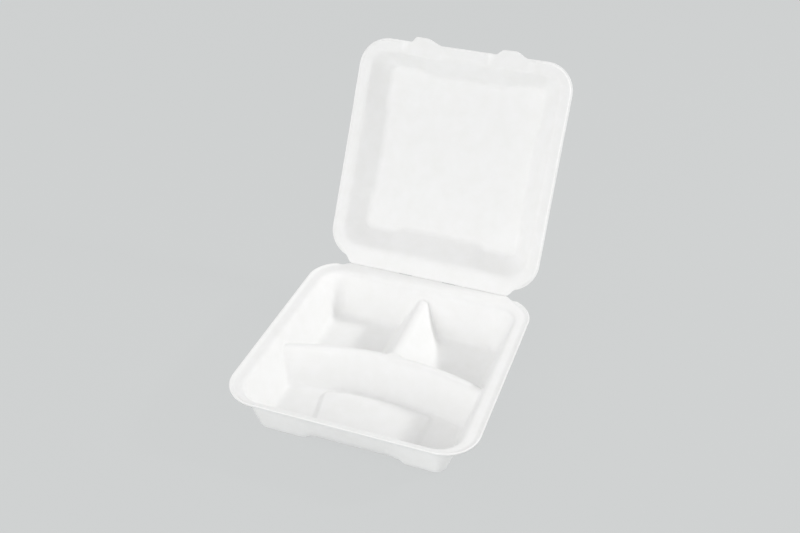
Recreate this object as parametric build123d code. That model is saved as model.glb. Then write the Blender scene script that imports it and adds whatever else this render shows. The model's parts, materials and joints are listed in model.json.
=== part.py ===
"""Hinged three-compartment food box, moulded in one piece from sugarcane pulp.

The tray has one large compartment at the front and two small ones at the back, parted by an
arched divider and a shorter one that runs from the arch to the back wall. The lid is a shallow
dish on a pressed fold along the tray's back edge, shown propped open as it stands on a table.

Millimetres, +Z up, -Y to the front where the box is opened. The origin is on the table, below
the middle of the whole open box. Every sheet is one wall thick, pressed from one side, so each
rise on the inside is a hollow underneath.
"""

import os
from math import acos, asin, atan, cos, degrees, hypot, radians, tan

from build123d import *

# Sheet and overall sizes
WALL = 0.7
TRAY_WIDTH = 230.0
TRAY_DEPTH = 232.0
TRAY_HEIGHT = 46.0
TRAY_CORNER = 32.5
CUT_OVERRUN = 20.0

# Rim of the tray: a raised lip outside a flat land that the closed lid rests on
LIP_RISE = 1.8
LIP_SKIRT = 2.2
FLANGE_WIDTH_SIDE = 14.5
FLANGE_WIDTH_FRONT = 7.0
FLANGE_WIDTH_BACK = 14.0

# Well of the tray, from the land down to the floor
WELL_CORNER = 24.0
WALL_RUN = 14.5
FLOOR_BEVEL = 2.5

# The front wall and floor step in between two corner feet
FRONT_RELIEF_WIDTH = 68.0
FRONT_RELIEF_SHIFT = 4.0
FRONT_RELIEF_STEP = 4.5
FRONT_RELIEF_RUN = 10.0
PANEL_RISE = 2.6
PANEL_WIDTH = 109.0
PANEL_SHIFT = 2.7
PANEL_GROOVE = 5.0
PANEL_CORNER = 7.0
PANEL_DRAFT = 30.0

# Arched divider, a ridge revolved about a centre in front of it
RIDGE_DROP = 12.0
RIDGE_TOP_RADIUS = 4.5
RIDGE_BEVELS = 4
ARCH_RADIUS = 262.0
ARCH_BACK = 2.6
ARCH_SHIFT = 4.0
ARCH_FRONT_RUN = 20.0
ARCH_BACK_RUN = 15.0

# Divider between the two small compartments, its right foot wider where it meets the arch
TEE_TOP_BACK = 4.0
TEE_TOP_FRONT = 6.0
TEE_LEFT_BACK = 22.5
TEE_LEFT_FRONT = 24.0
TEE_RIGHT_BACK = 9.0
TEE_RIGHT_FRONT = 50.0

# Lid, and the fold that carries it
LID_WIDTH = 220.2
LID_DEPTH = 227.2
LID_CORNER = 29.1
LID_HEIGHT = 23.0
LID_CLEARANCE = 0.5
LID_FLANGE_SIDE = 11.5
LID_FLANGE_FREE = 12.5
LID_FLANGE_HINGE = 12.7
LID_MOUTH_CORNER = 18.0
LID_RUN_SIDE = 17.5
LID_RUN_HINGE = 20.0
LID_RUN_FREE = 13.0
LID_PANEL_CORNER = 9.0
LID_RELIEF_STEP = 5.0
LID_SIDE_STEP = 3.0
LID_RELIEF_WIDTH = 76.0
LID_RELIEF_RUN = 14.0
LID_EDGE_BAND = 2.4
LID_EDGE_DROP = 0.9
TAB_WIDTH = 31.0
TAB_TIP_WIDTH = 17.0
TAB_REACH = 5.5
TAB_CORNER = 4.0
TAB_OFFSET = 45.0
TAB_DIP = 2.4
TAB_RAMP = 5.0

HINGE_SETBACK = 4.2
HINGE_ROOT = 6.0
HINGE_WIDTH = 174.0
FLANGE_GAP = 0.3
FOLD_GAP = 0.3
SLIT_LENGTH = 16.0
SLIT_WIDTH = 0.8
SLIT_OFFSET = 23.0
LID_ELEVATION = 62.0

# Heights and slopes worked out from the sizes above
LAND_Z = TRAY_HEIGHT - LIP_RISE
RIDGE_Z = TRAY_HEIGHT - RIDGE_DROP
FLOOR_Z = WALL
HINGE_Y = TRAY_DEPTH / 2 + HINGE_SETBACK
HINGE_Z = LAND_Z + FLANGE_GAP
WALL_DRAFT = atan(WALL_RUN / (LAND_Z - FLOOR_Z))


def rounded_box(width, depth, corner, centre_y=0.0):
    """A rounded rectangle in plan."""
    return Pos(0, centre_y) * RectangleRounded(width, depth, corner)


def stepped_side(start, end, width, run, step):
    """The points along one side whose middle stands in by a step, with a sloping end to each side."""
    side = (end - start).normalized()
    inward = Vector(-side.Y, side.X)
    middle = (start + end) / 2
    reach = width / 2
    outer = [middle - side * (reach + run), middle + side * (reach + run)]
    inner = [middle - side * reach + inward * step, middle + side * reach + inward * step]
    return [start, outer[0], inner[0], inner[1], outer[1], end]


def dish_outline(left, right, front, back, corner, z, width, run, steps):
    """A rounded rectangle at one height, its four sides stepped in by front, right, back, left steps."""
    corners = [Vector(left, front, z), Vector(right, front, z), Vector(right, back, z), Vector(left, back, z)]
    edges = []
    for i, here in enumerate(corners):
        following = corners[(i + 1) % len(corners)]
        after = corners[(i + 2) % len(corners)]
        side = (following - here).normalized()
        turn = (after - following).normalized()
        end = following - side * corner
        points = stepped_side(here + side * corner, end, width, run, steps[i])
        edges += [Edge.make_line(one, two) for one, two in zip(points, points[1:])]
        edges.append(Edge.make_tangent_arc(end, side, following + turn * corner))
    return Wire(edges)


def tray_well(grow):
    """The hollow of the tray below its land, or with grow the body that holds the sheet too.

    Its front half is mirrored to the back, so that all four corners are alike.
    """
    front = -TRAY_DEPTH / 2 + FLANGE_WIDTH_FRONT
    back = TRAY_DEPTH / 2 - FLANGE_WIDTH_BACK
    spread = grow / cos(WALL_DRAFT)
    width = TRAY_WIDTH - 2 * FLANGE_WIDTH_SIDE + 2 * spread
    mouth = rounded_box(width, back - front + 2 * spread, WELL_CORNER + spread)
    body = extrude(mouth, -(LAND_Z - FLOOR_Z + grow), taper=degrees(WALL_DRAFT))
    body = chamfer(body.edges().group_by(Axis.Z)[0], FLOOR_BEVEL)
    half = split(body, Plane.XZ, keep=Keep.TOP)
    return Pos(0, (front + back) / 2, LAND_Z) * (half + mirror(half, Plane.XZ))


def front_relief(shrink):
    """The middle of the front wall, which stands in between the two corner feet, more so lower down."""
    spread = shrink / cos(WALL_DRAFT)
    outlines = []
    for z in (LAND_Z, -CUT_OVERRUN):
        share = (LAND_Z - z) / (LAND_Z - FLOOR_Z)
        wall = -TRAY_DEPTH / 2 + FLANGE_WIDTH_FRONT + share * WALL_RUN - spread
        outer = FRONT_RELIEF_WIDTH / 2 + FRONT_RELIEF_RUN - spread
        inner = FRONT_RELIEF_WIDTH / 2 - spread
        step = wall + share * FRONT_RELIEF_STEP
        deep = wall - CUT_OVERRUN
        points = [(-outer, wall), (-inner, step), (inner, step), (outer, wall), (outer, deep), (-outer, deep)]
        corners = [Vector(FRONT_RELIEF_SHIFT + x, y, z) for x, y in points]
        outlines.append(Wire.make_polygon(corners, close=True))
    return Solid.make_loft(outlines, ruled=True)


def ridge_profile(left_run, right_run, shrink):
    """Section of a divider from below the floor to its rounded crest, each foot a run from the middle."""
    centre = Vector(0, RIDGE_Z - RIDGE_TOP_RADIUS)
    radius = RIDGE_TOP_RADIUS - shrink
    deep = FLOOR_Z - CUT_OVERRUN

    def flank(run, sign):
        """The two ends of a straight flank, which meets the crest's rounding at a tangent."""
        to_foot = Vector(sign * run, FLOOR_Z - centre.Y)
        turn = degrees(acos(RIDGE_TOP_RADIUS / to_foot.length))
        out = to_foot.normalized().rotate(Axis.Z, sign * turn)
        along = out.rotate(Axis.Z, -sign * 90)
        top = centre + out * radius
        return top, top + along * ((deep - top.Y) / along.Y)

    top_left, foot_left = flank(left_run, -1)
    top_right, foot_right = flank(right_run, 1)
    start = top_left - centre
    turn = start.get_angle(top_right - centre)
    crest = [centre + start.rotate(Axis.Z, -turn * i / RIDGE_BEVELS) for i in range(RIDGE_BEVELS)]
    points = [foot_left, *crest, top_right, foot_right]
    return Face(Wire.make_polygon(points, close=True))


def arch_ridge(shrink):
    """The arched divider, from wall to wall, revolved about its centre in front of the crest."""
    centre = Vector(ARCH_SHIFT, ARCH_BACK - ARCH_RADIUS, 0)
    upright = Plane(origin=centre + Vector(0, ARCH_RADIUS, 0), x_dir=(0, 1, 0), z_dir=(1, 0, 0))
    profile = upright * ridge_profile(ARCH_FRONT_RUN, ARCH_BACK_RUN, shrink)
    half_turn = degrees(asin(TRAY_WIDTH / 2 / ARCH_RADIUS))
    axis = Axis(centre, (0, 0, 1))
    return revolve(profile.rotate(axis, -half_turn), axis, 2 * half_turn)


def tee_ridge(shrink):
    """The short divider, lofted from the back wall to the arch, leaning out to the right."""
    back_y = TRAY_DEPTH / 2
    front_y = ARCH_BACK
    sections = []
    ends = (
        (front_y, TEE_TOP_FRONT, TEE_LEFT_FRONT, TEE_RIGHT_FRONT),
        (back_y, TEE_TOP_BACK, TEE_LEFT_BACK, TEE_RIGHT_BACK),
    )
    for y, top, left, right in ends:
        upright = Plane(origin=(top, y, 0), x_dir=(1, 0, 0), z_dir=(0, -1, 0))
        sections.append((upright * ridge_profile(left, right, shrink)).outer_wire())
    return Solid.make_loft(sections, ruled=True)


def floor_panel(shrink):
    """The low step in the front compartment's floor, from the front wall to a groove along the arch."""
    top = FLOOR_Z + PANEL_RISE - shrink
    front = -TRAY_DEPTH / 2
    depth = ARCH_BACK - front
    spread = (top + CUT_OVERRUN) * tan(radians(PANEL_DRAFT))
    plans = []
    for z, grow in ((-CUT_OVERRUN, spread - shrink), (top, -shrink)):
        reach = ARCH_RADIUS - ARCH_FRONT_RUN - PANEL_GROOVE + grow
        plan = Pos(PANEL_SHIFT, front + depth / 2) * Rectangle(PANEL_WIDTH + 2 * grow, depth)
        plan &= Pos(ARCH_SHIFT, ARCH_BACK - ARCH_RADIUS) * Circle(reach)
        plan = fillet(plan.vertices().sort_by(Axis.Y)[-2:], PANEL_CORNER)
        plans.append((Pos(0, 0, z) * plan).face().outer_wire())
    return Solid.make_loft(plans, ruled=True)


def lid_outline(grow):
    """The lid's edge in plan where it lies closed over the tray."""
    centre_y = HINGE_Y - HINGE_ROOT - LID_DEPTH / 2
    return rounded_box(LID_WIDTH + 2 * grow, LID_DEPTH + 2 * grow, LID_CORNER + grow, centre_y)


def tray_rim():
    """The flange: a flat land, and round it the lip with its turned-down skirt, open along the fold.

    The step up from the land is two walls thick, so that it meets the skirt beside the fold.
    """
    plan = rounded_box(TRAY_WIDTH, TRAY_DEPTH, TRAY_CORNER)
    block = Pos(0, 0, TRAY_HEIGHT - LIP_SKIRT) * extrude(plan, LIP_SKIRT)
    block = chamfer(block.edges().group_by(Axis.Z)[-1], WALL / 2)
    inner = rounded_box(TRAY_WIDTH - 2 * WALL, TRAY_DEPTH - 2 * WALL, TRAY_CORNER - WALL)
    under = Pos(0, 0, TRAY_HEIGHT - WALL - CUT_OVERRUN) * extrude(inner, CUT_OVERRUN)
    step = Pos(0, 0, LAND_Z - WALL) * extrude(lid_outline(LID_CLEARANCE + 2 * WALL) & plan, LIP_RISE)
    seat = Pos(0, 0, LAND_Z) * extrude(lid_outline(LID_CLEARANCE), LIP_RISE + CUT_OVERRUN)
    open_width = HINGE_WIDTH + 2 * LID_CLEARANCE
    seat += Pos(0, TRAY_DEPTH / 2, LAND_Z + CUT_OVERRUN / 2) * Box(open_width, CUT_OVERRUN, CUT_OVERRUN)
    return (block - under + step) - seat


def tray_web():
    """The tray's share of the fold strip, from the land out to the fold."""
    start = TRAY_DEPTH / 2 - FLANGE_WIDTH_BACK / 2
    end = HINGE_Y - FOLD_GAP / 2
    strip = Pos(0, (start + end) / 2, LAND_Z - WALL / 2) * Box(HINGE_WIDTH, end - start, WALL)
    return strip - fold_slits(HINGE_Y, LAND_Z - WALL / 2)


def fold_slits(y, z):
    """Two short slits along the fold that let the sheet bend."""
    slit = Box(SLIT_LENGTH, SLIT_WIDTH, 2 * WALL)
    return [Pos(side * SLIT_OFFSET, y, z) * slit for side in (-1, 1)]


def tray():
    """The whole tray as one sheet, about the middle of its own footprint."""
    body = (tray_well(WALL) - front_relief(WALL)) + tray_rim() + tray_web()
    body -= [arch_ridge(WALL), tee_ridge(WALL), floor_panel(WALL)]
    hollow = tray_well(0) - [arch_ridge(0), tee_ridge(0), floor_panel(0), front_relief(0)]
    return body - hollow


def lid_plan(inset):
    """The lid's edge laid flat behind the fold, drawn in by an inset."""
    centre_y = HINGE_ROOT + LID_DEPTH / 2
    return rounded_box(LID_WIDTH - 2 * inset, LID_DEPTH - 2 * inset, LID_CORNER - inset, centre_y)


def lid_dish(grow):
    """The hollow of the lid on its inner side, or with grow the body that holds the sheet too."""

    def outline(share, z, spread):
        """The wall's outline a share of the way from the mouth to the panel."""
        half = LID_WIDTH / 2 - LID_FLANGE_SIDE - share * LID_RUN_SIDE + spread
        near = HINGE_ROOT + LID_FLANGE_HINGE + share * LID_RUN_HINGE - spread
        far = HINGE_ROOT + LID_DEPTH - LID_FLANGE_FREE - share * LID_RUN_FREE + spread
        corner = LID_MOUTH_CORNER + share * (LID_PANEL_CORNER - LID_MOUTH_CORNER) + spread
        step = share * LID_RELIEF_STEP
        side_step = share * LID_SIDE_STEP
        steps = (step, side_step, step, side_step)
        return dish_outline(-half, half, near, far, corner, z, LID_RELIEF_WIDTH, LID_RELIEF_RUN, steps)

    panel = outline(1 + grow / LID_HEIGHT, -LID_HEIGHT - grow, grow)
    return Solid.make_loft([outline(0, 0, grow), panel], ruled=True)


def lid_flange():
    """The lid's flat rim, its outer band pressed back a little except along the fold."""
    depth = WALL + LID_EDGE_DROP
    block = Pos(0, 0, -depth) * extrude(lid_plan(0), depth)
    fold_side = Pos(0, HINGE_ROOT, -depth / 2) * Box(HINGE_WIDTH, 2 * (LID_EDGE_BAND + WALL), depth)
    band = Pos(0, 0, -LID_EDGE_DROP) * extrude(lid_plan(0) - lid_plan(LID_EDGE_BAND), LID_EDGE_DROP)
    under = Pos(0, 0, -depth) * extrude(lid_plan(LID_EDGE_BAND + WALL), LID_EDGE_DROP)
    return block - band - under - fold_side


def lid_web():
    """The lid's share of the fold strip, from the fold to its rim."""
    start = FOLD_GAP / 2
    end = HINGE_ROOT + LID_FLANGE_HINGE / 2
    strip = Pos(0, (start + end) / 2, -WALL / 2) * Box(HINGE_WIDTH, end - start, WALL)
    return strip - fold_slits(0, -WALL / 2)


def tab_trough(side, grow):
    """A trough across the free edge of the rim, pressed back so that the tab clears the tray's lip."""
    far = HINGE_ROOT + LID_DEPTH
    near = far - LID_FLANGE_FREE - LID_RUN_FREE / 2
    slope = TAB_RAMP / TAB_DIP
    spread = grow * hypot(1, slope)
    bottom = TAB_WIDTH / 2 + spread - grow * slope
    mouth = TAB_WIDTH / 2 + spread + TAB_RAMP
    deep = -TAB_DIP - grow
    points = [(-mouth, 0), (-bottom, deep), (bottom, deep), (mouth, 0)]
    if not grow:
        points += [(mouth, CUT_OVERRUN), (-mouth, CUT_OVERRUN)]
    section = Face(Wire.make_polygon([Vector(x, z) for x, z in points], close=True))
    upright = Plane(origin=(side * TAB_OFFSET, far, 0), x_dir=(1, 0, 0), z_dir=(0, -1, 0))
    return extrude(upright * section, far - near)


def tab_tongue(side):
    """The tab itself, a tapered tongue past the rim at the bottom of its trough."""
    root = HINGE_ROOT + LID_DEPTH
    near = root - LID_FLANGE_FREE
    tip = root + TAB_REACH
    wide = TAB_WIDTH / 2
    narrow = TAB_TIP_WIDTH / 2
    points = [(-wide, near), (wide, near), (wide, root), (narrow, tip), (-narrow, tip), (-wide, root)]
    plan = Face(Wire.make_polygon([Vector(x, y) for x, y in points], close=True))
    plan = fillet(plan.vertices().group_by(Axis.Y)[-1], TAB_CORNER)
    return Pos(side * TAB_OFFSET, 0, -TAB_DIP - WALL) * extrude(plan, WALL)


def lid():
    """The lid, built lying flat behind the fold and then turned up about it."""
    sides = (-1, 1)
    hollow = lid_dish(0) + [tab_trough(side, 0) for side in sides]
    body = lid_flange() + lid_dish(WALL) + lid_web()
    body += [tab_trough(side, WALL) for side in sides]
    body = (body - hollow) + [tab_tongue(side) - lid_dish(0) for side in sides]
    return Pos(0, HINGE_Y, HINGE_Z) * Rot(LID_ELEVATION, 0, 0) * body


def main():
    """Builds both halves and sets the origin below the middle of the open box."""
    halves = {"tray": tray(), "lid": lid()}
    extent = Compound(list(halves.values())).bounding_box()
    shift = -(extent.min.Y + extent.max.Y) / 2
    os.makedirs("parts", exist_ok=True)
    for name, half in halves.items():
        export_step(Pos(0, shift, 0) * half, f"parts/{name}.step")
    print("fold axis y", round(HINGE_Y + shift, 3), "z", HINGE_Z, "shift", round(shift, 3))


main()
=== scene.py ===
"""Hinged three-compartment food box, pressed from sugarcane pulp, open on a pale table.

Both halves are drawn as the inner face of one pressed sheet: a grid of points whose heights come
from the walls, dividers, steps and tabs. A Geometry Nodes tree then gives the sheet its thickness,
its slight unevenness and its two finishes. Sizes are in millimetres, and the meshes in metres.
"""

import json
from math import cos, pi, radians, sin

import bpy
import numpy as np
from mathutils import Matrix, Vector


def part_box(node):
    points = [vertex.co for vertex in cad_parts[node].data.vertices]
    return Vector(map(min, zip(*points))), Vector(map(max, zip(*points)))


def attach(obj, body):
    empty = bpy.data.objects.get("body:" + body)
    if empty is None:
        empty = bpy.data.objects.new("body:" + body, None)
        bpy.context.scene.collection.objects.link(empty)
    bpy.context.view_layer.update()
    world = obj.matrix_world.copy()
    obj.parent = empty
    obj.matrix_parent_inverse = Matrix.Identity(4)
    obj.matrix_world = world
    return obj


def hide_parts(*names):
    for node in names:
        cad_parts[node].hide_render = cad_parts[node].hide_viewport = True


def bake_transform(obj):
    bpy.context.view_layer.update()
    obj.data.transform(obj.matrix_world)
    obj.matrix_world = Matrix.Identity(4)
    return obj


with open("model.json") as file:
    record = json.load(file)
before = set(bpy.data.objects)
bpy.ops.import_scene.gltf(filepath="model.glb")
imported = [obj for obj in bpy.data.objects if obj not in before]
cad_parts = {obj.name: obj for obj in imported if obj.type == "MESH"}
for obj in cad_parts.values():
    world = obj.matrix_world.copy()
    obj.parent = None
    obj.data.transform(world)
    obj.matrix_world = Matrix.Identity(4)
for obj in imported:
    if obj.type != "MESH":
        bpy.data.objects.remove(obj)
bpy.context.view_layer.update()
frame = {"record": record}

MM = 0.001

# Sheet and tray, about the middle of the tray's rim
WALL = 0.7
TRAY_HALF_WIDTH = 115.0
TRAY_HALF_DEPTH = 116.0
TRAY_HEIGHT = 46.0
TRAY_CORNER = 32.5
LIP_RISE = 1.8
LIP_SKIRT = 2.2
LIP_TOP = 1.4
LIP_FILLET = 0.65
SEAT_FILLET = 1.7
FLANGE_SIDE = 14.5
FLANGE_FRONT = 7.0
FLANGE_BACK = 14.0
FOOT_CORNER = 8.0
WALL_RUN = 14.5
FLOOR_FILLET = 5.5
MOUTH_FILLET = 4.0

# Stepped front wall, and the raised panel in the front floor, with sizes at its back and front ends
FRONT_RELIEF_WIDTH = 62.0
FRONT_RELIEF_SHIFT = 4.0
FRONT_RELIEF_RUN = 20.0
FRONT_RELIEF_STEP = 3.0
PANEL_RISE = 2.5
PANEL_WIDTH = (109.0, 89.0)
PANEL_SHIFT = (2.7, 5.5)
PANEL_ENDS = (-25.0, -95.0)
PANEL_GROOVE = 7.0
PANEL_CORNER = 7.0
PANEL_SLOPE = 2.6
PANEL_FADE = 14.0

# Arched divider, about a centre in front of it, and the short divider from it to the back wall, with
# its crest's place and its flanks' runs at its front end and at the back edge
RIDGE_DROP = 12.0
ARCH_RADIUS = 262.0
ARCH_BACK = 2.6
ARCH_SHIFT = 4.0
ARCH_FRONT_RUN = 20.0
ARCH_BACK_RUN = 15.0
ARCH_TOP_RADIUS = 5.8
TEE_TOP = (6.0, 4.0)
TEE_LEFT = (24.0, 22.5)
TEE_RIGHT = (44.0, 9.0)
TEE_TOP_RADIUS = 7.0
TEE_FALL = 3.0
FOOT_BLEND = 5.0
RIDGE_BLEND = 7.0

# Lid, in its own plane, measured from the fold
LID_HALF_WIDTH = 110.1
LID_DEPTH = 227.2
LID_CORNER = 29.1
LID_HEIGHT = 23.0
LID_FLANGE_SIDE = 11.5
LID_FLANGE_FREE = 12.5
LID_FLANGE_HINGE = 12.7
LID_MOUTH_CORNER = 18.0
LID_RUN_SIDE = 17.5
LID_RUN_HINGE = 20.0
LID_RUN_FREE = 13.0
LID_PANEL_CORNER = 9.0
LID_PANEL_FILLET = 4.0
LID_END_STEP = 5.0
LID_SIDE_STEP = 3.0
LID_RELIEF_WIDTH = 76.0
LID_RELIEF_RUN = 14.0
LID_EDGE_BAND = 2.4
LID_EDGE_DROP = 0.9
LID_EDGE_SLOPE = 0.8
LID_EDGE_FILLETS = (0.6, 0.5)

# Left and right locking tabs: flat ends with eased sides, and a trough across the rim behind each
TAB_TOPS = ((-55.0, -44.5), (36.0, 47.5))
TAB_RISES = (4.5, 8.0)
TAB_FALLS = (18.0, 14.0)
TAB_REACH = 5.5
TROUGH_OFFSET = 45.0
TROUGH_WIDTH = 31.0
TROUGH_RAMP = 9.0
TROUGH_DIP = 2.5
TROUGH_FILLET = 1.6
TROUGH_REACH_DOWN = 5.0

# Fold between the two halves
HINGE_SETBACK = 4.2
HINGE_ROOT = 6.0
HINGE_WIDTH = 174.0
HINGE_NOTCH = 7.0
FOLD_GAP = 0.3
LID_CLEARANCE = 0.5
SLIT_LENGTH = 14.0
SLIT_WIDTH = 0.25
SLIT_OFFSET = 23.0
SLIT_END = 2.0
CREASE_THICKNESS = 0.45
CREASE_SINK = 0.12
CREASE_STEP = 4.0
CREASE_CELLS = 4

# Places in the frame
LAND_Z = TRAY_HEIGHT - LIP_RISE
RIDGE_Z = TRAY_HEIGHT - RIDGE_DROP
FLOOR_Z = WALL
FOLD_Y = TRAY_HALF_DEPTH + HINGE_SETBACK
RIM_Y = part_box("tray")[0][1] / MM + TRAY_HALF_DEPTH
LID_JOINT = frame["record"]["behaviour"]["joints"][0]
LID_FOLD = Vector(LID_JOINT["pos_m"]) / MM
LID_ELEVATION = radians(-LID_JOINT["range_deg"][0])
LID_ALONG = Vector((0, cos(LID_ELEVATION), sin(LID_ELEVATION)))
LID_UP = Vector((0, -sin(LID_ELEVATION), cos(LID_ELEVATION)))

# Grid of one half: cells from its middle to a side, how many of them turn a corner, points round its
# edge, how far the crests draw its lines, and how fast the walls' steps die away into the floor
CELLS = 69
CORNER_CELLS = 12
RING_POINTS = 8 * CELLS
CREST_REACH_X = 60.0
CREST_REACH_Y = 75.0
STEP_FADE_POWER = 8

# Rings beyond that grid, at each bend of the sheet's profile and along each straight run, and how near
# to each other the points of its two faces are joined
TRAY_BEND_RINGS = (8, 5, 3, 3, 4)
TRAY_RUN_RINGS = (0, 15, 4, 1, 1, 1)
LID_BEND_RINGS = (7, 6, 3, 3)
LID_RUN_RINGS = (0, 14, 6, 1, 2)
MERGE_DISTANCE = 0.0001

# Sides of a sheet, in the order in which its rings run
SIDES = FRONT, RIGHT, BACK, LEFT = 0, 1, 2, 3

# Unevenness of the pressed sheet
UNEVENNESS = 0.45
LUMP_SIZE = 60.0
LUMP_DETAIL = 2.0
TRAY_SEED = 3.0
LID_SEED = 8.0

# Finish of the pulp: its mottle, threads of fibre, flecks of rind, fine grain and wire print
PULP_LIGHT = "#f8f8f8"
PULP_SHADE = "#f5f5f4"
CLOUD_SIZE = 14.0
CLOUD_DETAIL = 4.0
CLOUD_ROUGHNESS = 0.6
CLOUD_SPAN = (0.3, 0.7)
FIBRE_COLOUR = "#e2dfd2"
FIBRE_LENGTH = 5.0
FIBRE_STRETCH = 11.0
FIBRE_DETAIL = 2.0
FIBRE_WANDER = 0.6
FIBRE_WIDTH_SHARE = 0.02
FIBRE_TINT = 0.06
FIBRE_RELIEF = 0.1
FIBRE_TURNS = ((0.2, 0.1, 0.4), (0.1, 0.3, 1.5), (0.4, 0.2, 2.6))
FLECK_COLOUR = "#cdbf9c"
FLECK_SPACING = 9.0
FLECK_RADIUS_SHARES = (0.02, 0.05)
FLECK_SHARE = 0.12
FLECK_TINT = 0.14
GRAIN_SIZE = 0.7
GRAIN_DETAIL = 3.0
WIRE_SPACING = 1.1
WIRE_WAVER = 0.3
WIRE_RELIEF = 0.9
PULP_IOR = 1.47
PULP_SPECULAR = 0.3
PULP_ROUGHNESS = 0.62
BUMP_STRENGTH = 0.35
BUMP_DEPTH = 0.12
INSIDE_SHIFT = 0.0
OUTSIDE_SHIFT = 0.37

# Colour sockets of a Mix node, and about how many bands a Wave Texture has for each unit of its scale
MIX_FIRST = 6
MIX_SECOND = 7
MIX_RESULT = 2
WAVE_BANDS = pi

# Table, lamps and camera
TABLE_COLOUR = "#d0d2d2"
TABLE_SIZE = 6.0
TABLE_GLOW_SHARE = 0.93
LAMP_DISTANCE = 1.6
KEY_DIRECTION = (0.8, 0.36, 0.48)
KEY_SIZE = 0.18
KEY_POWER = 8.2
FILL_DIRECTION = (-0.1, -0.9, 0.38)
FILL_SIZE = 1.6
FILL_POWER = 10.8
SIDE_DIRECTION = (-0.8, 0.0, 0.6)
SIDE_SIZE = 1.6
SIDE_POWER = 2.5
WORLD_STRENGTH = 0.61
CAMERA_TURNS = (18.91, 34.04, 1.13)
CAMERA_DISTANCE = 936.01
CAMERA_SIDE = -12.73
CAMERA_RISE = -74.44
CAMERA_FOCAL_PIXELS = 1009.89
IMAGE_WIDTH_PIXELS = 800
SENSOR_WIDTH = 36.0


def smooth(edge_zero, edge_one, value):
    """Eased step from 0 at one edge to 1 at the other."""
    share = np.clip((value - edge_zero) / (edge_one - edge_zero), 0, 1)
    return share * share * (3 - 2 * share)


def plateau(value, half, run):
    """1 within a half width, eased to 0 over a run outside it."""
    return smooth(half + run, half, np.abs(value))


def bump(value, reach):
    """Rounded bump of height 1 that ends at a reach to each side."""
    return np.clip(1 - (value / reach) ** 2, 0, 1) ** 2


def soft_max(one, other, blend):
    """The higher of two surfaces, with a fillet of a blend's height where they meet."""
    overlap = np.clip(1 - np.abs(one - other) / blend, 0, 1)
    return np.maximum(one, other) + overlap * overlap * blend / 4


class Sheet:
    """Points of a pressed sheet: a square grid over its floor, then rings out to its rim.

    Each point keeps its side, its share of the way out from the middle of the floor, and the number of
    its ring beyond the floor. An outline is a half width, front, back, corner radius and height.
    """

    def __init__(self, rings):
        """Builds the grid inside the first ring, the other rings, and the faces between them."""
        steps = np.arange(-CELLS, CELLS + 1)
        i, j = (axis.ravel() for axis in np.meshgrid(steps, steps, indexing="xy"))
        reach = np.maximum(np.abs(i), np.abs(j))
        side = np.select([j == -reach, i == reach, j == reach, i == -reach], SIDES)
        along = np.choose(side, [i, j, -i, -j]) / np.maximum(reach, 1)
        across = np.arange(-CELLS, CELLS) / CELLS
        count = len(rings) - 1
        beyond = np.repeat(np.arange(1, count + 1), RING_POINTS)
        self.side = np.concatenate([side, np.tile(np.repeat(SIDES, 2 * CELLS), count)])
        self.share = np.concatenate([reach / CELLS, np.ones(RING_POINTS * count)])
        self.ring = np.concatenate([np.zeros(len(i)), beyond]).astype(int)
        self.rings = np.array(rings)
        self.place(self.rings[self.ring], np.concatenate([along, np.tile(across, 4 * count)]))
        self.faces = self.grid_faces() + self.ring_faces(count)

    def place(self, outlines, along):
        """Puts each point on its own outline, at its place along its side."""
        half, front, back, corner, height = outlines.T
        straight = CELLS - CORNER_CELLS
        run = np.clip(along * CELLS / straight, -1, 1)
        turned = np.clip((np.abs(along) * CELLS - straight) / CORNER_CELLS, 0, 1)
        angle = (self.side - RIGHT) * pi / 2 + np.sign(along) * turned * pi / 4
        one = np.ones_like(run)
        right = np.choose(self.side, [run, one, -run, -one]) * (half - corner) + corner * np.cos(angle)
        depth = (back - front) / 2
        ahead = np.choose(self.side, [-one, run, one, -run]) * (depth - corner) + corner * np.sin(angle)
        self.x = self.share * right
        self.y = (front + back) / 2 + self.share * ahead
        self.z = height.copy()

    def grid_line(self, place, across):
        """The x of the grid line nearest to a place or, for a line across the floor, its y."""
        half, front, back, corner, _ = self.rings[0]
        middle = (front + back) / 2 if across else 0
        reach = (back - front) / 2 if across else half
        pitch = (reach - corner) / (CELLS - CORNER_CELLS)
        return middle + pitch * round((place - middle) / pitch)

    def way_out(self, mouth_ring):
        """Share of the way from the mouth's ring to the outer edge."""
        return np.clip((self.ring - mouth_ring) / (len(self.rings) - 1 - mouth_ring), 0, 1)

    def grid_faces(self):
        """Quads of the square grid over the floor."""
        row = 2 * CELLS + 1
        starts = [j * row + i for j in range(2 * CELLS) for i in range(2 * CELLS)]
        return [(a, a + 1, a + row + 1, a + row) for a in starts]

    def ring_faces(self, count):
        """Quads from the grid's edge to the first ring, and from each ring to the next."""
        row = 2 * CELLS + 1
        last = row * row - 1
        front = list(range(2 * CELLS))
        right = [2 * CELLS + row * j for j in range(2 * CELLS)]
        back = [last - i for i in range(2 * CELLS)]
        left = [last - 2 * CELLS - row * j for j in range(2 * CELLS)]
        inner = front + right + back + left
        faces = []
        for number in range(count):
            outer = [last + 1 + number * RING_POINTS + i for i in range(RING_POINTS)]
            pairs = zip(inner, outer, outer[1:] + outer[:1], inner[1:] + inner[:1])
            faces += [(a, b, c, d) for a, b, c, d in pairs]
            inner = outer
        return faces


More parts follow.
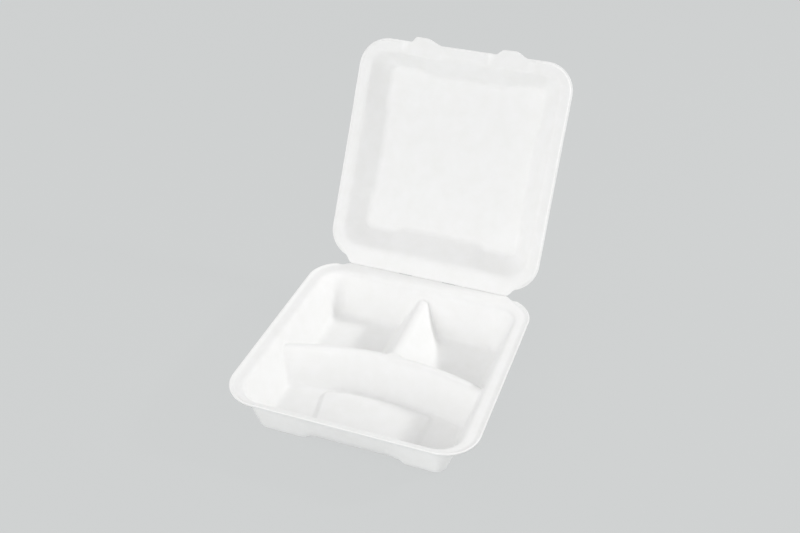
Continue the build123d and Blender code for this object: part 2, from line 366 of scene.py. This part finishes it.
def ring_profile(keys, fillets, bend_rings, run_rings):
    """Rings from the floor's edge out: straight between the key outlines and rounded at each.

    A fillet's length is measured on the profile of the right side, over half width and height.
    """
    keys = np.array(keys, float)
    lengths = np.hypot(*(keys[1:] - keys[:-1])[:, [0, 4]].T)
    rings = [keys[0]]
    for i, length in enumerate(lengths):
        start = keys[i] + (keys[i + 1] - keys[i]) * fillets[i] / length
        end = keys[i + 1] + (keys[i] - keys[i + 1]) * fillets[i + 1] / length
        rings += [start + (end - start) * k / run_rings[i] for k in range(1, run_rings[i] + 1)]
        if i + 1 < len(lengths):
            after = keys[i + 1] + (keys[i + 2] - keys[i + 1]) * fillets[i + 1] / lengths[i + 1]
            for t in (k / bend_rings[i] for k in range(1, bend_rings[i] + 1)):
                rings.append((1 - t) ** 2 * end + 2 * t * (1 - t) * keys[i + 1] + t * t * after)
    return rings


def mouth_number(bend_rings, run_rings):
    """Number of the ring where the wall's rounded top ends and the flat rim starts.

    It comes after the bends at the wall's foot and mouth, and after the runs before them.
    """
    return sum(bend_rings[:2]) + sum(run_rings[:2])


def grown(outline, by, height):
    """An outline moved outwards, at another height."""
    half, front, back, corner, _ = outline
    return (half + by, front - by, back + by, corner + by, height)


def arch_distance(x, y):
    """How far a point lies in front of the arched divider's crest."""
    return ARCH_RADIUS - np.hypot(x - ARCH_SHIFT, y - ARCH_BACK + ARCH_RADIUS)


def arch_crest(x):
    """Line of the arched divider's crest."""
    return ARCH_BACK - ARCH_RADIUS + np.sqrt(ARCH_RADIUS**2 - (x - ARCH_SHIFT) ** 2)


def ridge_height(distance, left_run, right_run, radius):
    """Height of a divider at a distance across it: a round crest between straight flanks."""
    run = np.where(distance < 0, left_run, right_run)
    drop = FLOOR_Z - (RIDGE_Z - radius)
    normal = np.arctan2(drop, run) + np.arccos(radius / np.hypot(run, drop))
    away = np.abs(distance)
    crest = np.sqrt(np.clip(radius**2 - away**2, 0, None))
    flank = (radius - away * np.cos(normal)) / np.sin(normal)
    return RIDGE_Z - radius + np.where(away < radius * np.cos(normal), crest, flank)


def between(ends, places, y):
    """A size that changes evenly from one place along the box to another."""
    return ends[0] + (ends[1] - ends[0]) * (y - places[0]) / (places[1] - places[0])


def tee_value(ends, y):
    """A size of the short divider, given at its front end and at the back edge."""
    return between(ends, (ARCH_BACK, TRAY_HALF_DEPTH), y)


def dividers_height(x, y):
    """Height of the arched divider and of the short one, which ends under it."""
    before_arch = arch_distance(x, y)
    arch = ridge_height(before_arch, ARCH_BACK_RUN, ARCH_FRONT_RUN, ARCH_TOP_RADIUS)
    tee = ridge_height(x - tee_value(TEE_TOP, y), tee_value(TEE_LEFT, y), tee_value(TEE_RIGHT, y),
                       TEE_TOP_RADIUS)
    joined = soft_max(arch, tee - TEE_FALL * np.clip(before_arch, 0, None), RIDGE_BLEND)
    return np.minimum(joined, RIDGE_Z)


def panel_height(x, y):
    """Height of the raised panel over the front floor, rounded where its sides meet its arched back."""
    middle = between(PANEL_SHIFT, PANEL_ENDS, y)
    across = np.abs(x - middle) - between(PANEL_WIDTH, PANEL_ENDS, y) / 2 + PANEL_CORNER
    along = ARCH_FRONT_RUN + PANEL_GROOVE + PANEL_CORNER - arch_distance(x, y)
    outside = np.hypot(np.clip(across, 0, None), np.clip(along, 0, None))
    edge = outside + np.minimum(np.maximum(across, along), 0) - PANEL_CORNER
    return PANEL_RISE * smooth(PANEL_SLOPE, -PANEL_SLOPE, edge)


def slit_cut(x):
    """Half the slits' width where the fold is slit, and nothing elsewhere."""
    offset = np.abs(np.abs(x) - SLIT_OFFSET)
    return smooth(SLIT_LENGTH / 2 + SLIT_END, SLIT_LENGTH / 2, offset) * SLIT_WIDTH / 2


def draw_to_fold(sheet, side, mouth_ring, mouth, fold, height):
    """Draws the rim out flat from the mouth to the fold, with a soft notch at each end of the strip.

    The rim is level for a little further than the strip is wide.
    """
    rim = (sheet.side == side) * (sheet.ring > mouth_ring)
    strip = plateau(sheet.x, (HINGE_WIDTH - HINGE_NOTCH) / 2, HINGE_NOTCH) * rim
    level = plateau(sheet.x, (HINGE_WIDTH + HINGE_NOTCH) / 2, HINGE_NOTCH) * rim
    sheet.y += strip * (mouth + sheet.way_out(mouth_ring) * (fold - mouth) - sheet.y)
    sheet.z += level * (height - sheet.z)


def tray_sheet():
    """Inner face of the tray: the sheet, and its points in the frame."""
    foot = (TRAY_HALF_WIDTH - FLANGE_SIDE - WALL_RUN, FLANGE_FRONT + WALL_RUN - TRAY_HALF_DEPTH,
            TRAY_HALF_DEPTH - FLANGE_BACK - WALL_RUN, FOOT_CORNER, FLOOR_Z)
    rim = (TRAY_HALF_WIDTH, -TRAY_HALF_DEPTH, TRAY_HALF_DEPTH, TRAY_CORNER, TRAY_HEIGHT)
    seat_back = FOLD_Y - HINGE_ROOT + LID_CLEARANCE
    seat = (LID_HALF_WIDTH + LID_CLEARANCE, seat_back - LID_DEPTH - 2 * LID_CLEARANCE, seat_back,
            LID_CORNER + LID_CLEARANCE, LAND_Z)
    keys = [grown(foot, -FLOOR_FILLET, FLOOR_Z), foot, grown(foot, WALL_RUN, LAND_Z), seat,
            grown(rim, -LIP_TOP, TRAY_HEIGHT), rim, grown(rim, 0, TRAY_HEIGHT - LIP_SKIRT)]
    fillets = [0, FLOOR_FILLET, MOUTH_FILLET, SEAT_FILLET, LIP_FILLET, LIP_FILLET, 0]
    sheet = Sheet(ring_profile(keys, fillets, TRAY_BEND_RINGS, TRAY_RUN_RINGS))
    mouth_ring = mouth_number(TRAY_BEND_RINGS, TRAY_RUN_RINGS)
    _, _, mouth_back, _, _ = sheet.rings[mouth_ring]

    # Grid lines drawn along the crests
    row = sheet.grid_line(ARCH_BACK, across=True)
    sheet.y += bump(sheet.y - row, CREST_REACH_Y) * (arch_crest(sheet.x) - row)
    column = sheet.grid_line(TEE_TOP[0], across=False)
    lean = tee_value(TEE_TOP, np.clip(sheet.y, ARCH_BACK, None)) - column
    behind_arch = smooth(-ARCH_BACK_RUN, ARCH_BACK_RUN, sheet.y)
    sheet.x += bump(sheet.x - column, CREST_REACH_X) * behind_arch * lean

    # Front wall stepped in between two corner feet
    low_share = np.clip((LAND_Z - sheet.z) / (LAND_Z - FLOOR_Z), 0, 1) * sheet.share**STEP_FADE_POWER
    inset = plateau(sheet.x - FRONT_RELIEF_SHIFT, FRONT_RELIEF_WIDTH / 2, FRONT_RELIEF_RUN) * low_share
    sheet.y += np.where(sheet.side == FRONT, inset * FRONT_RELIEF_STEP, 0)

    # Panel, which fades out up the front wall, and the dividers
    sheet.z += panel_height(sheet.x, sheet.y) * smooth(FLOOR_Z + PANEL_FADE, FLOOR_Z, sheet.z)
    divided = soft_max(sheet.z, dividers_height(sheet.x, sheet.y), FOOT_BLEND)
    sheet.z = np.where(sheet.ring <= mouth_ring, divided, sheet.z)

    fold = FOLD_Y - FOLD_GAP / 2 - slit_cut(sheet.x)
    draw_to_fold(sheet, BACK, mouth_ring, mouth_back, fold, LAND_Z)
    return sheet, np.stack([sheet.x, sheet.y + RIM_Y, sheet.z], 1)


def tab_share(x):
    """How far out the two tabs stand along the lid's free edge, steeper on their left."""
    share = np.zeros_like(x)
    for (start, end), rise, fall in zip(TAB_TOPS, TAB_RISES, TAB_FALLS):
        share += smooth(start - rise, start, x) * smooth(end + fall, end, x)
    return share


def lid_sheet():
    """Inner face of the lid: the sheet, and its points in the frame."""
    near = HINGE_ROOT
    far = HINGE_ROOT + LID_DEPTH
    edge = (LID_HALF_WIDTH, near, far, LID_CORNER, 0)
    mouth = (LID_HALF_WIDTH - LID_FLANGE_SIDE, near + LID_FLANGE_HINGE, far - LID_FLANGE_FREE,
             LID_MOUTH_CORNER, 0)
    foot = (mouth[0] - LID_RUN_SIDE, mouth[1] + LID_RUN_HINGE, mouth[2] - LID_RUN_FREE,
            LID_PANEL_CORNER, -LID_HEIGHT)
    keys = [grown(foot, -LID_PANEL_FILLET, -LID_HEIGHT), foot, mouth, grown(edge, -LID_EDGE_BAND, 0),
            grown(edge, LID_EDGE_SLOPE - LID_EDGE_BAND, -LID_EDGE_DROP), grown(edge, 0, -LID_EDGE_DROP)]
    fillets = [0, LID_PANEL_FILLET, MOUTH_FILLET, *LID_EDGE_FILLETS, 0]
    sheet = Sheet(ring_profile(keys, fillets, LID_BEND_RINGS, LID_RUN_RINGS))
    mouth_ring = mouth_number(LID_BEND_RINGS, LID_RUN_RINGS)
    _, mouth_front, _, _, _ = sheet.rings[mouth_ring]

    # Walls stepped in along the middle of each side
    low_share = np.clip(-sheet.z / LID_HEIGHT, 0, 1) * sheet.share**STEP_FADE_POWER
    ends = plateau(sheet.x, LID_RELIEF_WIDTH / 2, LID_RELIEF_RUN) * low_share * LID_END_STEP
    middle = (near + far) / 2
    flanks = plateau(sheet.y - middle, LID_RELIEF_WIDTH / 2, LID_RELIEF_RUN) * low_share * LID_SIDE_STEP
    none = np.zeros_like(ends)
    sheet.y += np.choose(sheet.side, [ends, none, -ends, none])
    sheet.x += np.choose(sheet.side, [none, -flanks, none, flanks])

    draw_to_fold(sheet, FRONT, mouth_ring, mouth_front, FOLD_GAP / 2 + slit_cut(sheet.x), 0)

    # Two tabs, each at the end of a shallow trough across the rim
    free = sheet.side == BACK
    sheet.y += TAB_REACH * tab_share(sheet.x) * sheet.way_out(mouth_ring) * free
    trough = plateau(np.abs(sheet.x) - TROUGH_OFFSET, TROUGH_WIDTH / 2, TROUGH_RAMP) * free
    lowered = -soft_max(-sheet.z, np.full_like(sheet.z, TROUGH_DIP), TROUGH_FILLET)
    sheet.z += trough * (lowered - sheet.z) * (sheet.z > -TROUGH_REACH_DOWN)

    shares = zip((sheet.x, sheet.y, sheet.z), (Vector((1, 0, 0)), LID_ALONG, LID_UP))
    return sheet, sum(np.outer(share, way) for share, way in shares) + np.array(LID_FOLD)


def add_node(tree, kind, inputs=None, **settings):
    """Adds one node with its settings, its inputs' values and its incoming links."""
    made = tree.nodes.new(kind)
    for name, value in settings.items():
        setattr(made, name, value)
    for name, value in (inputs or {}).items():
        if isinstance(value, bpy.types.NodeSocket):
            tree.links.new(value, made.inputs[name])
        else:
            made.inputs[name].default_value = value
    return made


def linear(code):
    """Linear colour of an sRGB hex value."""
    shares = [int(code[i:i + 2], 16) / 255 for i in (1, 3, 5)]
    return [s / 12.92 if s <= 0.04045 else ((s + 0.055) / 1.055) ** 2.4 for s in shares] + [1]


def pressed_shell_tree():
    """Geometry Nodes tree that gives a sheet its unevenness, its thickness and its two finishes."""
    tree = bpy.data.node_groups.new("pressed_pulp_shell", "GeometryNodeTree")
    tree.is_modifier = True
    face = tree.interface
    face.new_socket("Sheet", in_out="INPUT", socket_type="NodeSocketGeometry")
    for name in ("Wall", "Unevenness", "Lump Size", "Seed"):
        face.new_socket(name, in_out="INPUT", socket_type="NodeSocketFloat")
    for name in ("Inside", "Outside"):
        face.new_socket(name, in_out="INPUT", socket_type="NodeSocketMaterial")
    face.new_socket("Shell", in_out="OUTPUT", socket_type="NodeSocketGeometry")
    given = add_node(tree, "NodeGroupInput").outputs

    # Slow rise and fall of the whole sheet
    place = add_node(tree, "GeometryNodeInputPosition").outputs[0]
    normal = add_node(tree, "GeometryNodeInputNormal").outputs[0]
    scale = add_node(tree, "ShaderNodeMath", {0: 1.0, 1: given["Lump Size"]},
                     operation="DIVIDE").outputs[0]
    lumps = add_node(tree, "ShaderNodeTexNoise",
                     {"Vector": place, "W": given["Seed"], "Scale": scale, "Detail": LUMP_DETAIL},
                     noise_dimensions="4D").outputs[0]
    centred = add_node(tree, "ShaderNodeMath", {0: lumps, 1: 0.5}, operation="SUBTRACT").outputs[0]
    height = add_node(tree, "ShaderNodeMath", {0: centred, 1: given["Unevenness"]},
                      operation="MULTIPLY").outputs[0]
    offset = add_node(tree, "ShaderNodeVectorMath", {0: normal, "Scale": height},
                      operation="SCALE").outputs[0]
    uneven = add_node(tree, "GeometryNodeSetPosition",
                      {"Geometry": given["Sheet"], "Offset": offset}).outputs[0]

    # Second face one wall below the first, closed round the edge
    inner = add_node(tree, "GeometryNodeSetMaterial",
                     {"Geometry": uneven, "Material": given["Inside"]}).outputs[0]
    inward = add_node(tree, "ShaderNodeMath", {0: given["Wall"], 1: -1.0},
                      operation="MULTIPLY").outputs[0]
    pulled = add_node(tree, "GeometryNodeExtrudeMesh",
                      {"Mesh": uneven, "Offset Scale": inward, "Individual": False},
                      mode="FACES").outputs["Mesh"]
    turned = add_node(tree, "GeometryNodeFlipFaces", {"Mesh": pulled}).outputs[0]
    outer = add_node(tree, "GeometryNodeSetMaterial",
                     {"Geometry": turned, "Material": given["Outside"]}).outputs[0]
    join = add_node(tree, "GeometryNodeJoinGeometry")
    for part in (inner, outer):
        tree.links.new(part, join.inputs[0])
    closed = add_node(tree, "GeometryNodeMergeByDistance",
                      {"Geometry": join.outputs[0], "Distance": MERGE_DISTANCE * MM}).outputs[0]
    softened = add_node(tree, "GeometryNodeSetShadeSmooth", {"Geometry": closed}).outputs[0]
    real = add_node(tree, "GeometryNodeRealizeInstances", {"Geometry": softened}).outputs[0]
    add_node(tree, "NodeGroupOutput", {"Shell": real})
    return tree


def press(name, half, tree, values):
    """Makes a half of the box from its sheet, as a plain mesh."""
    sheet, points = half
    mesh = bpy.data.meshes.new(name + "_sheet")
    mesh.from_pydata((points * MM).tolist(), [], sheet.faces)
    blank = bpy.data.objects.new(name + "_sheet", mesh)
    bpy.context.collection.objects.link(blank)
    modifier = blank.modifiers.new("Pressing", "NODES")
    modifier.node_group = tree
    sockets = {item.name: item.identifier for item in tree.interface.items_tree if item.in_out == "INPUT"}
    for socket, value in values.items():
        modifier[sockets[socket]] = value
    graph = bpy.context.evaluated_depsgraph_get()
    shell = bpy.data.meshes.new_from_object(blank.evaluated_get(graph), depsgraph=graph)
    blank.modifiers.remove(modifier)
    bpy.data.objects.remove(blank)
    shell.name = name
    piece = bpy.data.objects.new(name, shell)
    bpy.context.collection.objects.link(piece)
    return piece


def fibre_threads(tree, place):
    """Threads of fibre lying in three directions, drawn a little coarser than the real ones."""
    threads = None
    for turn in FIBRE_TURNS:
        laid = add_node(tree, "ShaderNodeMapping",
                        {"Vector": place, "Rotation": turn, "Scale": (1, FIBRE_STRETCH, FIBRE_STRETCH)})
        wander = add_node(tree, "ShaderNodeTexNoise",
                          {"Vector": laid.outputs[0], "Scale": 1 / (FIBRE_LENGTH * MM),
                           "Detail": FIBRE_DETAIL, "Distortion": FIBRE_WANDER}).outputs[0]
        middle = add_node(tree, "ShaderNodeMath", {0: wander, 1: 0.5}, operation="SUBTRACT").outputs[0]
        width = add_node(tree, "ShaderNodeMath", {0: middle}, operation="ABSOLUTE").outputs[0]
        line = add_node(tree, "ShaderNodeMapRange",
                        {"Value": width, "From Min": 0.0, "From Max": FIBRE_WIDTH_SHARE,
                         "To Min": 1.0, "To Max": 0.0}).outputs[0]
        if threads is None:
            threads = line
        else:
            threads = add_node(tree, "ShaderNodeMath", {0: threads, 1: line},
                               operation="ADD").outputs[0]
    return threads


def rind_flecks(tree, place):
    """Where the few tan flecks of cane rind are."""
    cells = add_node(tree, "ShaderNodeTexVoronoi", {"Vector": place, "Scale": 1 / (FLECK_SPACING * MM)})
    solid, edge = FLECK_RADIUS_SHARES
    near = add_node(tree, "ShaderNodeMapRange",
                    {"Value": cells.outputs["Distance"], "From Min": solid, "From Max": edge,
                     "To Min": 1.0, "To Max": 0.0}).outputs[0]
    pick = add_node(tree, "ShaderNodeSeparateColor", {"Color": cells.outputs["Color"]}).outputs[0]
    rare = add_node(tree, "ShaderNodeMath", {0: pick, 1: 1 - FLECK_SHARE},
                    operation="GREATER_THAN").outputs[0]
    return add_node(tree, "ShaderNodeMath", {0: near, 1: rare}, operation="MULTIPLY").outputs[0]


def wire_imprint(tree, place):
    """Print of the forming mould's wire mesh, drawn coarser than its real half millimetre."""
    scale = 1 / (WIRE_SPACING * MM) / WAVE_BANDS
    waves = [add_node(tree, "ShaderNodeTexWave",
                      {"Vector": place, "Scale": scale, "Distortion": WIRE_WAVER},
                      bands_direction=axis).outputs[1] for axis in "XY"]
    return add_node(tree, "ShaderNodeMath", {0: waves[0], 1: waves[1]}, operation="MULTIPLY").outputs[0]


def pulp_material(name, shift, with_imprint):
    """Bleached sugarcane pulp, pressed wet between heated moulds: matt, faintly mottled and fibrous."""
    material = bpy.data.materials.new(name)
    material.use_nodes = True
    tree = material.node_tree
    tree.nodes.clear()
    coordinates = add_node(tree, "ShaderNodeTexCoord").outputs["Object"]
    place = add_node(tree, "ShaderNodeVectorMath", {0: coordinates, 1: (shift, shift / 2, -shift)},
                     operation="ADD").outputs[0]

    # Cloudy mottle where the pulp lay thicker or thinner
    cloud = add_node(tree, "ShaderNodeTexNoise",
                     {"Vector": place, "Scale": 1 / (CLOUD_SIZE * MM), "Detail": CLOUD_DETAIL,
                      "Roughness": CLOUD_ROUGHNESS}).outputs[0]
    thin, thick = CLOUD_SPAN
    tone = add_node(tree, "ShaderNodeMapRange",
                    {"Value": cloud, "From Min": thin, "From Max": thick}).outputs[0]
    colour = add_node(tree, "ShaderNodeMix",
                      {"Factor": tone, MIX_FIRST: linear(PULP_SHADE), MIX_SECOND: linear(PULP_LIGHT)},
                      data_type="RGBA").outputs[MIX_RESULT]

    # Threads and flecks, each veiled into the colour below
    threads = fibre_threads(tree, place)
    flecks = rind_flecks(tree, place)
    for mask, tint, code in ((threads, FIBRE_TINT, FIBRE_COLOUR), (flecks, FLECK_TINT, FLECK_COLOUR)):
        veil = add_node(tree, "ShaderNodeMath", {0: mask, 1: tint}, operation="MULTIPLY").outputs[0]
        colour = add_node(tree, "ShaderNodeMix",
                          {"Factor": veil, MIX_FIRST: colour, MIX_SECOND: linear(code)},
                          data_type="RGBA").outputs[MIX_RESULT]

    # Relief of the threads, of the fine grain between them and, outside, of the mould's wire
    grain = add_node(tree, "ShaderNodeTexNoise",
                     {"Vector": place, "Scale": 1 / (GRAIN_SIZE * MM), "Detail": GRAIN_DETAIL}).outputs[0]
    relief = add_node(tree, "ShaderNodeMath", {0: threads, 1: FIBRE_RELIEF, 2: grain},
                      operation="MULTIPLY_ADD").outputs[0]
    if with_imprint:
        wires = wire_imprint(tree, place)
        relief = add_node(tree, "ShaderNodeMath", {0: wires, 1: WIRE_RELIEF, 2: relief},
                          operation="MULTIPLY_ADD").outputs[0]
    bumped = add_node(tree, "ShaderNodeBump",
                      {"Height": relief, "Strength": BUMP_STRENGTH,
                       "Distance": BUMP_DEPTH * MM}).outputs[0]
    shader = add_node(tree, "ShaderNodeBsdfPrincipled",
                      {"Base Color": colour, "Roughness": PULP_ROUGHNESS, "IOR": PULP_IOR,
                       "Specular IOR Level": PULP_SPECULAR, "Normal": bumped}).outputs[0]
    add_node(tree, "ShaderNodeOutputMaterial", {"Surface": shader})
    return material


def fold_crease(material):
    """The pressed line of the fold itself, a thin web between the two halves, parted at the slits.

    Returns the piece and the two ends of its section across the fold.
    """
    start = Vector((0, -FOLD_GAP / 2, 0))
    end = LID_ALONG * FOLD_GAP / 2
    shares = [k / CREASE_CELLS for k in range(CREASE_CELLS + 1)]
    top = [start.lerp(end, share) for share in shares]
    bottom = [(start - Vector((0, 0, CREASE_THICKNESS))).lerp(end - LID_UP * CREASE_THICKNESS, share)
              for share in reversed(shares)]
    section = [LID_FOLD + point - Vector((0, 0, CREASE_SINK)) for point in top + bottom]
    half = (HINGE_WIDTH - HINGE_NOTCH) / 2
    inner = SLIT_OFFSET - SLIT_LENGTH / 2
    outer = SLIT_OFFSET + SLIT_LENGTH / 2
    width = len(section)
    verts, faces = [], []
    for left, right in ((-half, -outer), (-inner, inner), (outer, half)):
        places = np.linspace(left, right, int((right - left) / CREASE_STEP) + 2)
        base = len(verts)
        verts += [(place, point.y, point.z) for place in places for point in section]
        faces.append(tuple(range(base, base + width)))
        for row in range(base, base + width * (len(places) - 1), width):
            faces += [(row + i, row + width + i, row + width + (i + 1) % width, row + (i + 1) % width)
                      for i in range(width)]
        faces.append(tuple(reversed(range(len(verts) - width, len(verts)))))
    mesh = bpy.data.meshes.new("fold_crease")
    mesh.from_pydata((np.array(verts) * MM).tolist(), [], faces)
    mesh.materials.append(material)
    piece = bpy.data.objects.new("fold_crease", mesh)
    bpy.context.collection.objects.link(piece)
    return piece, (LID_FOLD + start) * MM, (LID_FOLD + end) * MM


def seen_or_mirrored(tree):
    """1 for rays from the camera and for those that a shiny or clear face sends on, otherwise 0."""
    path = add_node(tree, "ShaderNodeLightPath").outputs
    seen = path["Is Camera Ray"]
    for kind in ("Is Glossy Ray", "Is Transmission Ray"):
        seen = add_node(tree, "ShaderNodeMath", {0: seen, 1: path[kind]}, operation="MAXIMUM").outputs[0]
    return seen


def table():
    """A plain pale table top, which glows to the camera so that shadows on it stay faint."""
    half = TABLE_SIZE / 2
    corners = [(-half, -half, 0), (half, -half, 0), (half, half, 0), (-half, half, 0)]
    mesh = bpy.data.meshes.new("table_top")
    mesh.from_pydata(corners, [], [(0, 1, 2, 3)])
    top = bpy.data.objects.new("table_top", mesh)
    bpy.context.collection.objects.link(top)
    material = bpy.data.materials.new("matt_table")
    material.use_nodes = True
    tree = material.node_tree
    tree.nodes.clear()
    matt = add_node(tree, "ShaderNodeBsdfDiffuse", {"Color": linear(TABLE_COLOUR)}).outputs[0]
    glow = add_node(tree, "ShaderNodeEmission", {"Color": linear(TABLE_COLOUR)}).outputs[0]
    share = add_node(tree, "ShaderNodeMath", {0: seen_or_mirrored(tree), 1: TABLE_GLOW_SHARE},
                     operation="MULTIPLY").outputs[0]
    mixed = add_node(tree, "ShaderNodeMixShader", {0: share, 1: matt, 2: glow}).outputs[0]
    add_node(tree, "ShaderNodeOutputMaterial", {"Surface": mixed})
    mesh.materials.append(material)


def softbox(name, direction, size, power):
    """A round lamp that looks at the middle of the tray's rim."""
    lamp = bpy.data.lights.new(name, "AREA")
    lamp.shape = "DISK"
    lamp.size = size
    lamp.energy = power
    body = bpy.data.objects.new(name, lamp)
    bpy.context.collection.objects.link(body)
    way = Vector(direction).normalized()
    place = Vector((0, RIM_Y * MM, TRAY_HEIGHT * MM)) + way * LAMP_DISTANCE
    body.matrix_world = Matrix.Translation(place) @ way.to_track_quat("Z", "Y").to_matrix().to_4x4()


def surround():
    """An even surround, seen by the camera in the table's colour."""
    world = bpy.data.worlds.new("studio")
    bpy.context.scene.world = world
    world.use_nodes = True
    tree = world.node_tree
    tree.nodes.clear()
    light = add_node(tree, "ShaderNodeBackground",
                     {"Color": (1, 1, 1, 1), "Strength": WORLD_STRENGTH}).outputs[0]
    backdrop = add_node(tree, "ShaderNodeBackground",
                        {"Color": linear(TABLE_COLOUR), "Strength": 1.0}).outputs[0]
    mixed = add_node(tree, "ShaderNodeMixShader",
                     {0: seen_or_mirrored(tree), 1: light, 2: backdrop}).outputs[0]
    add_node(tree, "ShaderNodeOutputWorld", {"Surface": mixed})


def camera():
    """The photograph's camera, fitted to the rim of the tray and the lid."""
    azimuth, pitch, roll = (radians(a) for a in CAMERA_TURNS)
    forward = Vector((-sin(azimuth) * cos(pitch), cos(azimuth) * cos(pitch), -sin(pitch)))
    level = forward.cross(Vector((0, 0, 1))).normalized()
    upward = level.cross(forward)
    right = level * cos(roll) + upward * sin(roll)
    up = upward * cos(roll) - level * sin(roll)
    place = Vector((0, RIM_Y, TRAY_HEIGHT)) - forward * CAMERA_DISTANCE
    place -= right * CAMERA_SIDE + up * CAMERA_RISE
    data = bpy.data.cameras.new("photo_camera")
    data.sensor_fit = "HORIZONTAL"
    data.sensor_width = SENSOR_WIDTH
    data.lens = SENSOR_WIDTH * CAMERA_FOCAL_PIXELS / IMAGE_WIDTH_PIXELS
    body = bpy.data.objects.new("photo_camera", data)
    bpy.context.collection.objects.link(body)
    turn = Matrix((right, up, -forward)).transposed().to_4x4()
    body.matrix_world = Matrix.Translation(place * MM) @ turn
    bpy.context.scene.camera = body


inside_pulp = pulp_material("pressed_pulp_smooth_face", INSIDE_SHIFT, with_imprint=False)
outside_pulp = pulp_material("pressed_pulp_mesh_face", OUTSIDE_SHIFT, with_imprint=True)
shell_tree = pressed_shell_tree()
shell_values = {"Wall": WALL * MM, "Unevenness": UNEVENNESS * MM, "Lump Size": LUMP_SIZE * MM,
                "Inside": inside_pulp, "Outside": outside_pulp}
tray_shell = press("tray_shell", tray_sheet(), shell_tree, {**shell_values, "Seed": TRAY_SEED})
lid_shell = press("lid_shell", lid_sheet(), shell_tree, {**shell_values, "Seed": LID_SEED})
crease, crease_start, crease_end = fold_crease(outside_pulp)

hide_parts("tray")
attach(tray_shell, "base")
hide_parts("lid")
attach(lid_shell, "cover")
tuple(crease_start)
tuple(crease_end)
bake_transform(crease)

table()
softbox("key_lamp", KEY_DIRECTION, KEY_SIZE, KEY_POWER)
softbox("fill_lamp", FILL_DIRECTION, FILL_SIZE, FILL_POWER)
softbox("side_lamp", SIDE_DIRECTION, SIDE_SIZE, SIDE_POWER)
surround()
camera()
bpy.context.scene.view_settings.view_transform = "Standard"
